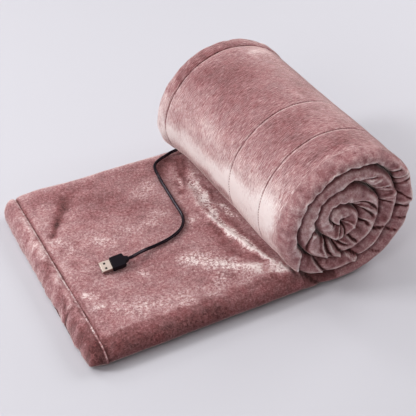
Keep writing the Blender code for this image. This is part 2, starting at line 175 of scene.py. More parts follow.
# ---- pleats of the folds at the roll's near end ----
PLEATS = (
    # turn angle at the outer and inner rim, share from, to, mm wide before and after, height mm
    (228, 204, -0.05, 1.05, 12.0, 1.5, 2.2), (230, 206, 0.00, 1.05, 1.6, 13.0, -6.5),
    (257, 231, 0.15, 1.05, 3.0, 0.8, 2.2), (260, 235, 0.15, 1.05, 0.8, 5.0, -3.6),
    (291, 281, 0.00, 1.05, 4.0, 0.8, 2.8), (296, 286, 0.00, 1.05, 0.8, 4.5, -4.6),
    (333, 326, 0.20, 1.05, 1.2, 2.5, -3.2), (374, 369, 0.10, 0.80, 2.2, 2.2, 2.6),
    (360, 370, 0.30, 1.05, 3.0, 1.0, -3.2), (377, 389, 0.30, 1.00, 0.8, 2.5, 1.8),
    (383, 392, 0.30, 1.05, 3.0, 0.8, -3.2), (386, 396, 0.30, 1.00, 0.8, 2.5, 2.4),
    (398, 411, 0.40, 1.00, 4.0, 4.0, 3.0), (400, 424, 0.45, 1.05, 1.2, 1.2, -4.0),
    (-45, -55, 0.40, 1.05, 1.2, 3.5, -3.8), (-26, -31, 0.30, 1.05, 2.5, 2.5, -2.6),
    (-15, -19, 0.20, 1.05, 2.5, 2.5, -1.8), (-5, -7, 0.00, 1.05, 2.5, 1.0, -2.8),
    (-2, -4, 0.00, 1.00, 0.8, 3.0, 1.4), (-3, 9, 0.20, 1.05, 2.5, 2.5, -2.2),
    (19, 17, 0.10, 1.05, 2.0, 2.0, -2.2), (24, 25, 0.10, 1.05, 3.0, 0.8, -3.0),
    (26, 27, 0.10, 1.05, 0.8, 3.0, 2.2), (33, 35, 0.30, 1.05, 3.0, 0.8, -3.0),
    (36, 38, 0.30, 1.05, 0.8, 3.0, 2.2), (574, 536, 0.10, 0.95, 3.0, 3.0, -3.2),
    (613, 576, 0.10, 1.05, 1.6, 1.2, 3.8), (624, 590, 0.20, 1.05, 2.2, 1.5, -3.4),
    (634, 601, 0.05, 1.05, 2.5, 0.7, 4.0), (638, 615, 0.05, 1.05, 0.8, 5.0, -6.0),
    (662, 619, 0.40, 1.05, 0.8, 3.0, -4.4), (671, 626, 0.50, 1.05, 1.5, 0.8, 2.4),
    (662, 652, 0.30, 1.00, 3.0, 0.7, 1.8), (665, 656, 0.25, 1.05, 1.0, 3.5, -3.6),
    (692, 700, 0.30, 1.05, 2.0, 2.0, -4.4), (697, 705, 0.30, 1.00, 0.8, 3.0, 1.8),
    (700, 740, 0.25, 1.00, 3.5, 0.8, -4.2), (706, 748, 0.20, 1.05, 0.8, 2.5, 3.4),
    (712, 776, 0.20, 1.00, 2.0, 2.0, -4.0), (960, 990, 0.20, 1.05, 2.0, 1.0, 2.6),
    (1000, 1030, 0.10, 1.05, 1.0, 2.4, -3.2), (1040, 1060, 0.10, 1.05, 1.5, 1.5, 2.2),
)
PLEAT_REACH_MM = 36
LIP_CUTS = (
    # turn angle, mm the fold's inner lip is cut back (+) or droops (-), mm wide
    (61, 2.4, 4.5), (85, -0.8, 6.0), (104, 3.4, 3.2), (121, -1.0, 5.0), (138, 2.2, 3.0), (160, -0.8, 6.0),
    (418, 3.0, 4.0), (428, 3.0, 6.0), (440, 4.2, 3.5), (456, -1.6, 5.0), (474, 1.4, 3.0), (482, -1.0, 3.0),
    (491, 2.8, 2.6), (507, -1.4, 3.5), (520, 1.6, 2.4), (531, -1.6, 3.5), (549, 1.4, 3.0),
    (768, -1.4, 4.0), (790, 1.2, 3.0), (806, -1.0, 3.0), (822, 1.6, 3.0), (839, 2.4, 2.4), (860, -1.2, 3.0),
)
UNDER_CREASE_MM = ((56, 27), (78, 4))           # from the pinch down to the floor, x and z

# ---- pale and deep patches, each along a line: brushed pile, painted highlights and painted shade ----
TAIL_NAP_AND_LIGHT_MM = (
    # x1, y1, x2, y2, half width, how pale (+) or deep (-)
    # many pale rows lie along the ridges as painted highlights, and many deep rows in the folds beside them
    # as painted shade
    (17, 2, 20, -40, 5, 0.74), (20, -40, 30, -72, 5, 0.81),
    (30, -72, 42, -116, 5, 0.88), (18, 6, 22, 30, 6, 0.54),
    (22, 30, 29, 60, 6.5, 0.68), (9, 66, 20, 90, 4, 0.41),
    (32, 12, 39, -14, 3, 0.61), (-38, -56, -8, -80, 12, 0.42),
    (-8, -84, 18, -100, 6, 0.36), (18, -100, 38, -120, 4, 0.54),
    (-28, -96, 0, -112, 5, 0.22), (-128, -100, -62, -108, 9, 0.20),
    (-62, -108, -24, -106, 8, 0.24), (-140, -84, -110, -92, 8, 0.14),
    (-95, -46, -94, -52, 3.5, 0.38), (-159, -56, -153, -66, 4, 0.34),
    (-158, -76, -152, -80, 3.5, 0.30), (-118, 22, -106, 12, 9, 0.20),
    (-152, 10, -146, 20, 7, 0.16), (-158, 42, -154, 34, 6, 0.16),
    (-84, 18, -52, 20, 9, 0.10), (-40, 70, -24, 86, 11, 0.16),
    (-44, 34, -30, 26, 9, 0.12), (-20, 4, -4, 2, 3.5, 0.28),
    (-130, 80, -122, 74, 8, 0.12), (-121, 102, -131, 90, 9, -0.20),
    (-128, 92, -145, 68, 6.5, -0.30), (-145, 68, -157, 48, 3.5, -0.34),
    (-150, 112, -88, 114, 9, -0.16), (-124, 98, -70, 82, 11, -0.26),
    (-150, -4, -150, -12, 4, -0.24), (-110, 62, -58, 66, 13, -0.16),
    (-58, 50, -36, 46, 9, -0.16), (-30, 98, -12, 104, 8, -0.18),
    (2, 102, 18, 118, 7, -0.46), (36, 110, 28, 96, 5, -0.60),
    (24, 88, 18, 75, 4.5, -0.60), (14, 67, 8, 56, 3.5, -0.46),
    (29, 78, 19, 59, 4, 0.36), (33, 60, 33, 30, 3.5, -0.61),
    (27, -8, 38, -78, 5.5, -0.30), (6, -20, 8, -62, 8, -0.32),
    (4, -66, 26, -90, 4.5, -0.27), (-88, -34, -40, -38, 9, -0.12),
    (-18, 40, -16, 20, 7, -0.10), (-30, -129, 48, -131, 9, 0.24),
)
HEM_NAP_AND_LIGHT_MM = (
    (-180, 40, -173, 50, 4, 0.34), (-178, 22, -172, 34, 4, 0.34),
    (-176, 96, -173, 70, 3.5, 0.22), (-186, 20, -178, 6, 4, -0.24),
    (-188, -12, -176, 8, 4, -0.20), (-186, -30, -176, -18, 4, 0.20),
    (-182, -60, -176, -44, 4, 0.16), (-190, -64, -180, -50, 3, -0.36),
    (-184, -92, -176, -80, 5, 0.16), (-184, 64, -180, 80, 5, -0.12),
    (-186, -20, -174, -78, 9, -0.22), (-186, -84, -174, -126, 10, -0.54),
)
ROLL_NAP_AND_LIGHT = (
    # turn angle 1, y1, turn angle 2, y2, half width, how pale or deep
    # these first two rows paint a highlight down the roll's left flank, which faces the window light
    (176, -112, 182, -20, 21, 0.85), (182, -20, 190, 112, 16, 0.85),
    (158, -110, 160, -92, 22, 0.42), (198, -96, 202, -40, 16, 0.36),
    (150, -52, 152, -30, 13, 0.12), (152, 24, 150, 50, 14, 0.20),
    (166, 66, 158, 104, 12, 0.08), (201, -8, 212, 62, 11, -0.50),
    (104, -78, 112, -60, 13, -0.10), (92, -44, 100, -28, 16, -0.12),
    (66, -8, 58, 18, 14, -0.14), (112, 20, 108, 60, 18, -0.12),
    (94, 66, 116, 100, 18, -0.16), (56, 104, 72, 100, 8, 0.42),
    (72, -112, 68, -106, 6, 0.26), (44, -104, 56, -96, 7, 0.12),
    (126, -112, 140, -104, 13, 0.16), (74, -10, 78, 0, 5, 0.14),
    (78, -93, 54, -93, 17, -0.22),
)
MM_PER_DEGREE = 1.3
ROLL_NAP_AND_LIGHT_MM = [(a1 * MM_PER_DEGREE, y1, a2 * MM_PER_DEGREE, y2, *patch)
               for a1, y1, a2, y2, *patch in ROLL_NAP_AND_LIGHT]
# painted shade under the tail and low on its sides, and on the roll's faces other than its outer face and
# near folds
UNDERSIDE_SHADE = -0.35
ROLL_INNER_SHADE = -0.3
OUTER_FACE_END = 250            # turn angle where the outer face goes in under the roll
CREST_HIGHLIGHT_MOST = 0.20                # the painted highlight on a crest goes no higher than this

# ---- lead and plug, as the solids have them; the lead starts 3 mm further under the roll ----
CORD_DIAMETER = 3.8 * MM
CORD_ROUTE_MM = (
    (34.5, 124.6, 30.0), (26.0, 125.2, 28.2), (17.5, 122.5, 27.7), (8.0, 119.0, 27.7),
    (-0.5, 113.5, 27.7), (-5.0, 105.0, 27.7), (-7.3, 92.0, 27.7), (-9.6, 73.6, 27.7),
    (-11.7, 50.7, 27.9), (-13.8, 28.5, 28.3), (-15.2, 13.0, 28.3), (-19.0, 1.5, 28.0),
    (-26.6, -8.0, 27.8), (-38.0, -14.6, 27.8), (-50.3, -18.6, 27.9), (-66.0, -21.8, 28.6),
    (-80.0, -24.6, 30.2), (-89.5, -28.4, 31.9),
)
CORD_SPACING = 2.5 * MM
PLUG_FRONT = Vector((-119.7, -30.3, 31.4)) * MM
PLUG_TURN = Euler((radians(-20), radians(5), radians(177)), "XYZ")
PLUG_BODY_LENGTH = 14.5 * MM
PLUG_NECK_LENGTH = 5.0 * MM
CLEARANCE = 0.3 * MM

# ---- thread ----
STITCH_LENGTH = 2.6 * MM
STITCH_SPACING = 3.5 * MM
THREAD_WIDTH = 0.7 * MM
THREAD_SUNK = 0.4 * MM
SEAM_SIDE_STEP = 0.5 * MM
SEAM_ANGLES = (-30, 228)        # a seam shows on the roll between these turn angles

# ---- stage ----
FLOOR_HALF = 16.0
FLOOR_DROP = 0.2 * MM
CAMERA_PLACE = Vector((-0.3846, -0.7541, 0.7328))
CAMERA_LOOK = Vector((0.3599, 0.6856, -0.6328))
CAMERA_LENS = 85.02


# ======== small helpers ========

def clamp01(value):
    """The value, kept from 0 to 1."""
    return min(1.0, max(0.0, value))


def smooth(value, low, high):
    """0 below low, 1 above high, with a soft change between."""
    t = clamp01((value - low) / (high - low))
    return t * t * (3 - 2 * t)


def catmull(a, b, c, d, t):
    """A point on the smooth curve from b to c, with a and d its neighbours."""
    return 0.5 * (2 * b + (c - a) * t + (2 * a - 5 * b + 4 * c - d) * t ** 2
                  + (3 * b - a - 3 * c + d) * t ** 3)


def table_curve(rows, place):
    """The value of a smooth curve through the rows, at a place counted in rows."""
    last = len(rows) - 1
    row = min(int(place), last - 1)
    near = [rows[min(max(row + k, 0), last)] for k in (-1, 0, 1, 2)]
    return catmull(*near, place - row)


def bell(distance, half_width):
    """1 at no distance, falling off softly on both sides."""
    return exp(-(distance / half_width) ** 2)


def ruffle(x, y, size, seed=0.0):
    """Smooth unevenness from about -1 to 1, its lumps as wide as size."""
    return 1.6 * noise.noise(Vector((x / size, y / size, seed)))


# ======== the cloth's shape ========

def outer_radius(angle):
    """Radius of the strip's outer face at a winding angle in degrees."""
    return table_curve(OUTER_RADIUS_MM, (angle - WIND_START) / WIND_ROW) * MM


def inner_radius(angle):
    """Radius of the strip's inner face: it lies on the next turn in."""
    if angle + 360 <= WIND_END + CORE_OVERLAP:
        return outer_radius(min(angle + 360, WIND_END)) + TURN_GAP
    return max(CORE_HOLE, outer_radius(angle) - CORE_PLY)


def on_ray(angle, radius):
    """The point at a winding angle in degrees and a distance from the roll's axis."""
    a = radians(angle)
    return Vector((AXIS_X + radius * cos(a), 0, AXIS_Z + radius * sin(a)))


class Station:
    """One place along the strip: its outer and inner face and how its section is shaped there."""

    def __init__(self, outer, inner, angle=None, drawn_in=0.0, ply_share=1.0):
        self.outer = outer
        self.inner = inner
        self.angle = angle                  # winding angle in degrees, none on the tail
        self.drawn_in = drawn_in
        self.ply_share = ply_share
        self.rolled = 0.0 if angle is None else smooth(angle, WIND_START, 0)
        self.inner_turn = 0.0 if angle is None else smooth(angle, *INNER_TURN_ANGLES)
        self.inward = (inner - outer).normalized()
        self.along = 0.0


def tail_stations():
    """Stations of the tail, from its hemmed end to the pinch."""
    stations = []
    for bottom_back, top_back, top, drawn_in in HEM_END_ROWS:
        outer = Vector((TAIL_END_X + bottom_back * MM, 0, 0))
        inner = Vector((TAIL_END_X + top_back * MM, 0, top * STRIP_THICKNESS))
        stations.append(Station(outer, inner, None, drawn_in * MM))
    first = stations[-1].outer.x + TAIL_SPACING
    last = on_ray(PINCH_ANGLE, outer_radius(PINCH_ANGLE)).x - TAIL_SPACING
    count = round((last - first) / TAIL_SPACING)
    for i in range(count + 1):
        x = first + (last - first) * i / count
        stations.append(Station(Vector((x, 0, 0)), Vector((x, 0, STRIP_THICKNESS))))
    return stations


def winding_stations():
    """Stations from the pinch, under the roll and round to its core, evenly spaced along the cloth."""
    stations = []
    angle = PINCH_ANGLE
    while angle < WIND_START + 360:
        inner = on_ray(angle, outer_radius(angle) + TURN_GAP)
        stations.append(Station(Vector((inner.x, 0, 0)), inner))
        angle += UNDER_ROLL_STEP
    angle = WIND_START
    while angle < WIND_END:
        radius = outer_radius(angle)
        outer = on_ray(angle, radius)
        outer.z = max(0.0, outer.z)
        pressed = (1 - ROLLED_PLY_SHARE) * smooth(angle, WIND_START, 0)
        stations.append(Station(outer, on_ray(angle, inner_radius(angle)), angle,
                                ply_share=1 - pressed))
        angle += TURN_SPACING / radius * 180 / pi
    return stations


def all_stations():
    """All stations from the tail's end to the core, each with its way along the cloth."""
    stations = tail_stations() + winding_stations()
    for before, after in zip(stations, stations[1:]):
        step = (after.outer.lerp(after.inner, 0.5) - before.outer.lerp(before.inner, 0.5)).length
        after.along = before.along + step
    return stations


def face_places(high, low, spacing, lines=()):
    """Places across a face from high to low, closer together beside its sewn lines."""
    # mm from a sewn line
    beside = [-4.4, -2.4, -1.3, -0.6, 0.0, 0.6, 1.3, 2.4, 4.4]
    close = [line + d * MM for line in lines for d in beside]
    count = round((high - low) / spacing)
    even = [high + (low - high) * i / count for i in range(count + 1)]
    even = [y for y in even if all(abs(y - c) > 1.6 * MM for c in close)]
    return sorted(even + close, reverse=True)


def section():
    """The cloth's way across the strip: rows of (edge or face, mm in, y or step, share, ply)."""
    ring = [("far", back, share, 0) for back, share in BOTTOM_HEM]
    outside = face_places(*OUTER_FACE_Y, FACE_SPACING, (HEM_SEAM_Y,) + SEWN_LINES_Y)
    ring += [("outer", y, 0.0, 0) for y in outside]
    last_row = len(NEAR_FOLD) - 1
    ring += [("near", k / FOLD_STEPS * last_row, None, None) for k in range(FOLD_STEPS + 1)]
    ring += [("inner", y, 1.0, 3) for y in reversed(face_places(*TOP_FACE_Y, TOP_SPACING))]
    ring += [("far", back, share, None) for back, share in TOP_HEM]
    ring += FOLDS_INSIDE
    return ring


def crease_height(rows, x, y):
    """Height that a table of creases gives a place; a sharp one has a crest, not a round back."""
    total = 0.0
    for *sizes, sharpness in rows:
        x1, y1, x2, y2, half_width, height = [value * MM for value in sizes]
        run = Vector((x2 - x1, y2 - y1))
        place = Vector((x - x1, y - y1))
        along = clamp01(place.dot(run) / run.length_squared)
        away = (place - run * along).length
        round_back = bell(away, half_width)
        crest = exp(-1.6 * away / half_width)
        total += height * (round_back + (crest - round_back) * sharpness)
    return total


def tail_top_lift(x, y):
    """How far the tail's top stands above its plain level."""
    lift = crease_height(TAIL_RIDGES_MM, x, y) * smooth(x, TAIL_END_X + 14 * MM, TAIL_END_X + 26 * MM)
    band = 1 - smooth(x, TAIL_END_X + END_HEM - 3 * MM, TAIL_END_X + END_HEM)
    lift += crease_height(HEM_WRINKLES_MM, x, y) * band
    lift += 0.55 * MM * ruffle(x, y, 38 * MM) + 0.3 * MM * ruffle(x, y, 13 * MM, 3.0)
    lift += 0.35 * MM * band * ruffle(x, y, 8 * MM, 5.0)
    return lift * smooth(x, TAIL_END_X, TAIL_END_X + 5 * MM)


def outer_face_lift(station, y):
    """How far the roll's outer face stands above its plain level."""
    along = station.along
    lift = 0.5 * MM * ruffle(along, y, 45 * MM, 7.0) + 0.18 * MM * ruffle(along, y, 14 * MM, 9.0)
    for line, depth in ((HEM_SEAM_Y, 2.4), (SEWN_LINES_Y[0], 1.3), (SEWN_LINES_Y[1], 1.3)):
        line += 0.5 * MM * ruffle(along, 0, 30 * MM, line)
        away = y - line
        lift -= depth * MM * (0.75 * bell(away, 0.9 * MM) + 0.25 * bell(away, 4.5 * MM))
        lift += 0.22 * MM * ruffle(along, line, 6 * MM, 11.0) * exp(-abs(away) / (7 * MM))
    in_band = clamp01((y - HEM_SEAM_Y) / (STRIP_WIDTH / 2 - HEM_SEAM_Y))
    lift += 1.1 * MM * sin(pi * in_band) * (1 + 0.9 * ruffle(along, y, 12 * MM, 13.0))
    lift -= 2.2 * MM * smooth(-y, 92 * MM, 128 * MM) * (1 - station.inner_turn)
    return lift * station.rolled * (1 - 0.8 * station.inner_turn)


def pleat_height(angle, share):
    """How far the pleats push the near fold out or in at a winding angle and share of thickness."""
    radius = outer_radius(angle) * (1 - share) + inner_radius(angle) * share
    total = 0.0
    for outer_angle, inner_angle, share_from, share_to, before, after, height in PLEATS:
        line = outer_angle + (inner_angle - outer_angle) * share
        away = radians(angle - line) * radius / MM
        if abs(away) > PLEAT_REACH_MM:
            continue
        begun = smooth(share, share_from - 0.12, share_from + 0.12)
        ended = smooth(share, share_to, share_to + 0.1)
        crest = exp(-abs(away) / (before if away < 0 else after))
        total += 1.2 * height * MM * crest * begun * (1 - ended)
    return total


def faces_up_left(angle):
    """1 on the side of each turn that faces the upper left, 0 on the lower right."""
    return smooth(cos(radians(angle - 130)), -0.4, 0.6)


def near_fold(station, step):
    """Share of thickness and how far in from the near side the fold lies, at a step of its table."""
    share, flat, *rolled = [table_curve([row[k] for row in NEAR_FOLD], step) for k in range(6)]
    if station.angle is None:
        setback = flat * MM + 0.7 * MM * ruffle(station.along, 0, 35 * MM, 19.0)
        (x1, z1), (x2, z2) = UNDER_CREASE_MM
        down = (z1 - share * STRIP_THICKNESS / MM) / (z1 - z2)
        off = (station.outer.x / MM - x1 - (x2 - x1) * down) / 1.4
        crease = exp(-abs(off) / (1.0 if off < 0 else 6.0)) * smooth(share, 0.12, 0.3)
        return share, setback + 4 * MM * crease * smooth(station.outer.x, 50 * MM, 58 * MM)
    up_left = faces_up_left(station.angle)
    outer_turn = rolled[1] + (rolled[0] - rolled[1]) * up_left
    inner_turn = rolled[3] + (rolled[2] - rolled[3]) * up_left
    on_roll = outer_turn + (inner_turn - outer_turn) * station.inner_turn
    amount = station.rolled
    # the core's own lip stands further out, which closes the hole
    on_roll *= 1 - 0.55 * smooth(station.angle, 780, 880) * smooth(share, 0.85, 1.0)
    setback = (flat + (on_roll - flat) * amount) * MM
    setback -= pleat_height(station.angle, share) * amount
    setback += amount * bell(share - 0.2, 0.25) * 1.3 * MM * ruffle(station.along, 0, 17 * MM, 15.0)
    setback += amount * share * 1.2 * MM * ruffle(station.along, share * 18 * MM, 8 * MM, 17.0)
    return share, setback + amount * FOLD_BACK


def lip_shift(station, share, setback):
    """How far the inner lip of the near fold moves towards the roll's core: it is wavy and notched."""
    if station.angle is None:
        return 0.0
    shift = -0.5 * MM + 0.9 * MM * ruffle(station.along, 0, 9 * MM, 23.0)
    for angle, cut, width in LIP_CUTS:
        arc = radians(station.angle - angle) * inner_radius(station.angle) / MM
        if abs(arc) < 5 * width:
            shift -= cut * MM * exp(-abs(arc) / width)
    on_lip = smooth(share, 0.4, 0.8) * (1 - smooth(setback, 7 * MM, 15 * MM))
    return shift * on_lip * faces_up_left(station.angle) * station.rolled


def hem_flare(point):
    """How far the outermost hem stands out to the left at a place on the roll."""
    right, up = point.x - AXIS_X, point.z - AXIS_Z
    facing = max(0.0, cos(atan2(up, right) - FLARE_ANGLE)) ** 3
    outermost = smooth(hypot(right, up), 52 * MM, 62 * MM)
    return FLARE * facing * outermost * smooth(point.y, FLARE_FROM_Y, STRIP_WIDTH / 2)


def settle_roll(point, rolled):
    """The far end of the roll is wider and lower, and the rims of both its ends are a little uneven."""
    share = smooth(point.x, *ROLL_BLEND) * (point.y / STRIP_WIDTH + 0.5)
    point.x += (point.x - AXIS_X) * FAR_WIDER * share + FAR_AXIS_SHIFT * share
    point.z *= 1 - FAR_LOWER * share
    uneven = noise.noise_vector(point / (17 * MM)) + 0.5 * noise.noise_vector(point / (8 * MM))
    uneven.y = 0
    rim = smooth(-point.y, 98 * MM, 128 * MM) + 0.8 * smooth(point.y, 122 * MM, 134 * MM)
    point += uneven * 1.5 * MM * rolled * rim
    return point


def cloth_point(station, spot):
    """Where one point of the section lies at one station."""
    edge, value, share, ply = spot
    side = STRIP_WIDTH / 2 - station.drawn_in
    on_tail = station.angle is None
    if edge == "near":
        share, setback = near_fold(station, value)
        y = -side + setback
    elif edge == "inside":
        y = -side + value * MM + FOLD_BACK
    elif edge == "far":
        y = side - value * MM
        if on_tail:
            past_end = station.outer.x - TAIL_END_X
            y += FAR_BULGE * bell(past_end - FAR_BULGE_FROM_END, FAR_BULGE_HALF)
    else:
        y = min(value, side - (3 if edge == "outer" else 9.5) * MM)
    if ply is not None:
        middle = (PLY_LOW[ply] + PLY_HIGH[ply]) / 2
        share = middle + (share - middle) * station.ply_share
    point = station.outer.lerp(station.inner, share)
    point.y = y
    if edge == "near":
        point += station.inward * lip_shift(station, share, setback)
    if edge == "outer":
        point -= station.inward * outer_face_lift(station, y)
    if ply == 0:
        point.x -= hem_flare(point) * station.rolled
    from_end = point.x - TAIL_END_X
    if share > PLY_LOW[3] and on_tail:
        upper = smooth(share, PLY_LOW[3], 0.98) * (1 - smooth(point.x, 44 * MM, 52 * MM))
        point.z += tail_top_lift(point.x, point.y) * upper
    in_hem = 1 - smooth(from_end, 3 * MM, END_HEM)
    wave = 2.3 * ruffle(point.y, 0, 26 * MM, 21.0) + 0.9 * ruffle(point.y, 0, 9 * MM, 25.0)
    point.x -= wave * MM * in_hem
    point.x += HEM_NOTCH_DEPTH * bell(point.y - HEM_NOTCH_Y, HEM_NOTCH_HALF) * in_hem
    return settle_roll(point, station.rolled)


def widths_across(ring):
    """Distance of each point of the section from its first one, on a flat stretch of the strip."""
    flat = Station(Vector((0, 0, 0)), Vector((0, 0, STRIP_THICKNESS)))
    points = [cloth_point(flat, spot) for spot in ring]
    across = [0.0]
    for a, b in zip(points, points[1:] + points[:1]):
        across.append(across[-1] + (b - a).length)
    return across


def patch_tones(rows, x, y):
    """How pale or deep a table of patches makes a place: brushed pile, painted highlights and painted
    shade.
    """
    total = 0.0
    for *sizes, amount in rows:
        x1, y1, x2, y2, half_width = sizes
        run = Vector((x2 - x1, y2 - y1))
        place = Vector((x - x1, y - y1))
        along = clamp01(place.dot(run) / run.length_squared)
        total += amount * bell((place - run * along).length, half_width)
    return total


def tail_nap_and_light(edge, point):
    """How pale (+) or deep (-) the tail is at a place: brushed pile, painted highlights on ridges and lips,
    painted shade in creases, underneath and on its sides.
    """
    x, y = point.x / MM, point.y / MM
    from_end = x - TAIL_END_X / MM
    # painted shade under the tail and low on its sides
    underneath = edge in ("outer", "inside") or point.z < 9 * MM
    if underneath and from_end > 6:
        return UNDERSIDE_SHADE
    x += 3 * ruffle(x, y, 16, 31.0)
    y += 3 * ruffle(x, y, 16, 33.0)
    nap_and_light = patch_tones(TAIL_NAP_AND_LIGHT_MM, x, y)
    if x < (TAIL_END_X + END_HEM) / MM:
        # the hem band is a little deeper, with a painted highlight along its rounded end
        nap_and_light = patch_tones(HEM_NAP_AND_LIGHT_MM, x, y) - 0.20 + 0.22 * bell(from_end, 4)
    # painted highlight on the hem's lip, in tufts on its near half, and painted shade in the seam beside it
    lit_lip = 0.45 + 0.35 * smooth(-y, -30, 0) * (1 + ruffle(point.y, 0, 5 * MM, 27.0))
    nap_and_light += lit_lip * bell(from_end - 17.2, 1.1) - 0.60 * bell(from_end - 19.7, 1.0)
    # painted shade towards both sides, deepest on the near side
    nap_and_light -= 0.10 * smooth(y, 96, 120)
    return nap_and_light - 0.52 * smooth(-y, 110, 124) - 0.18 * smooth(-y, 124, 134)


def outer_face_nap_and_light(station, point):
    """How pale or deep a place on the roll's outer face is: brushed pile, a painted highlight on the flank
    facing the light, painted shade in its seams.
    """
    angle, y = station.angle * MM_PER_DEGREE, point.y / MM
    y += 4 * ruffle(angle, y, 18, 35.0)
    angle += 4 * ruffle(angle, y, 18, 37.0)
    nap_and_light = patch_tones(ROLL_NAP_AND_LIGHT_MM, angle, y)
    # painted highlight on the side that faces the window light, painted shade on the top
    nap_and_light += 0.16 * smooth(station.angle, 122, 160) - 0.10 * bell(station.angle - 98, 30)
    in_hem = smooth(point.y, HEM_SEAM_Y, HEM_SEAM_Y + 2 * MM)
    nap_and_light -= 0.34 * in_hem * (1 - smooth(station.angle, 130, 165))
    # painted shade in the sewn lines, with a painted highlight on their near lip
    lip = sum(bell(point.y - line + 1.7 * MM, 1.0 * MM) for line in SEWN_LINES_Y)
    nap_and_light += 0.30 * lip * (1 - 0.8 * smooth(station.angle, 118, 140))
    nap_and_light -= 0.20 * sum(bell(point.y - line, 0.8 * MM) for line in SEWN_LINES_Y)
    # painted shade in the hem's seam, and on the near rim where the roll turns in
    nap_and_light -= 0.50 * bell(point.y - HEM_SEAM_Y, 0.9 * MM)
    return nap_and_light - 0.30 * smooth(-y, 112, 128)


def near_fold_nap_and_light(station, step, point):
    """How pale or deep a place on the folds of the roll's near end is: painted highlights on rims and lit
    faces, painted shade in the crevices.
    """
    depth = (point.y + STRIP_WIDTH / 2 - FOLD_BACK) / MM
    up_left = faces_up_left(station.angle)
    share = table_curve([row[0] for row in NEAR_FOLD], step)
    # painted highlight along each fold's rim
    rim = up_left * smooth(share, 0.35, 0.7) + (1 - up_left) * bell(share - 0.19, 0.12)
    nap_and_light = 0.42 * bell(depth, 2.4) * rim
    nap_and_light += 0.08 * ruffle(station.along, share * 12 * MM, 5 * MM, 41.0)
    # painted highlight on faces turned up and to the left, towards the lights
    lit = up_left * (1 - smooth(share, 0.25, 0.55)) * station.rolled
    nap_and_light += (0.08 + 0.14 * station.inner_turn) * lit
    faces_left = smooth(cos(radians(station.angle - 195)), 0.2, 0.95) * station.inner_turn
    nap_and_light += 0.14 * faces_left * bell(share - 0.45, 0.35)
    # painted shade where a turn goes in behind the next one, and down inside the folds
    nap_and_light -= 0.5 * station.inner_turn * (1 - smooth(share, 0.08, 0.24))
    nap_and_light -= 0.4 * smooth(share, 0.88, 0.97)
    sunk = smooth(depth, 4, 12) * (1 - up_left * (1 - smooth(share, 0.3, 0.5)))
    return nap_and_light - 0.12 - 0.45 * sunk


def nap_and_light_at(station, spot, point):
    """How pale (+) or deep (-) one point of the section is at one station: brushed pile, painted highlights
    and painted shade.
    """
    edge, step, _, _ = spot
    if station.angle is None:
        return tail_nap_and_light(edge, point)
    if edge == "outer" and station.angle < OUTER_FACE_END:
        return outer_face_nap_and_light(station, point)
    if edge == "near":
        return near_fold_nap_and_light(station, step, point)
    return ROLL_INNER_SHADE


def write_crest_highlight_crease_shade(bm):
    """Marks crests and lips for a painted highlight and creases for painted shade.

    Creases count for more than crests, and most in the tightly pressed folds at the near end.
    """
    layer = bm.verts.layers.float.new("crest_highlight_crease_shade")
    bm.verts.index_update()
    convexity = []
    for vert in bm.verts:
        around = [edge.other_vert(vert).co for edge in vert.link_edges]
        middle = sum(around, Vector()) / len(around)
        reach = sum((co - vert.co).length for co in around) / len(around)
        convexity.append((vert.co - middle).dot(vert.normal) / reach)
    for vert in bm.verts:
        around = [convexity[edge.other_vert(vert).index] for edge in vert.link_edges]
        mean = 0.5 * convexity[vert.index] + 0.5 * sum(around) / len(around)
        pressed = 1 + 0.3 * smooth(-vert.co.y, 104 * MM, 122 * MM) * smooth(vert.co.z, 24 * MM, 34 * MM)
        vert[layer] = min(CREST_HIGHLIGHT_MOST, mean) if mean > 0 else 1.5 * mean * pressed


def hidden_columns(ring):
    """For each column of the mesh that is thinned out inside the roll: the turn angle it starts at."""
    starts = {}
    for j, (edge, y, _, _) in enumerate(ring):
        if j % KEPT_COLUMNS == 0:
            continue
        if edge == "outer" and HIDDEN_OUTER_Y[0] < y < HIDDEN_OUTER_Y[1]:
            starts[j] = INNER_TURN_ANGLES[1]
        if edge == "inner" and HIDDEN_TOP_Y[0] < y < HIDDEN_TOP_Y[1]:
            starts[j] = WIND_START
    return starts


def make_cloth(stations, ring, finish):
    """A grid is bent into the strip's tube, sewn up along its seam and closed at both ends."""
    across = widths_across(ring)
    bm = bmesh.new()
    lay = bm.loops.layers.uv.new("cloth_lay")
    nap_and_light = bm.verts.layers.float.new("pile_nap_and_painted_light")
    lengths = len(stations) - 1
    bmesh.ops.create_grid(bm, x_segments=lengths, y_segments=len(ring), size=0.5)
    spots = {}
    for vert in bm.verts:
        spots[vert] = (round((vert.co.x + 0.5) * lengths), round((vert.co.y + 0.5) * len(ring)))
    for face in bm.faces:
        for loop in face.loops:
            i, j = spots[loop.vert]
            loop[lay].uv = (stations[i].along, across[j])
    for vert, (i, j) in spots.items():
        spot = ring[j % len(ring)]
        vert.co = cloth_point(stations[i], spot)
        vert.co.z = max(vert.co.z, 0.0)
        vert[nap_and_light] = nap_and_light_at(stations[i], spot, vert.co)
    starts = hidden_columns(ring)
    inside = []
    for edge in bm.edges:
        (i1, j1), (i2, j2) = [spots[vert] for vert in edge.verts]
        angle = stations[min(i1, i2)].angle
        if j1 == j2 and j1 in starts and angle is not None and angle >= starts[j1]:
            inside.append(edge)
    bmesh.ops.dissolve_edges(bm, edges=inside, use_verts=True)
    bmesh.ops.remove_doubles(bm, verts=bm.verts, dist=WELD)
    rims = [edge for edge in bm.edges if edge.is_boundary]
    bmesh.ops.holes_fill(bm, edges=rims, sides=0)
    bmesh.ops.recalc_face_normals(bm, faces=bm.faces)
    bm.normal_update()
    write_crest_highlight_crease_shade(bm)
    return finished_mesh("plush cloth", bm, finish)


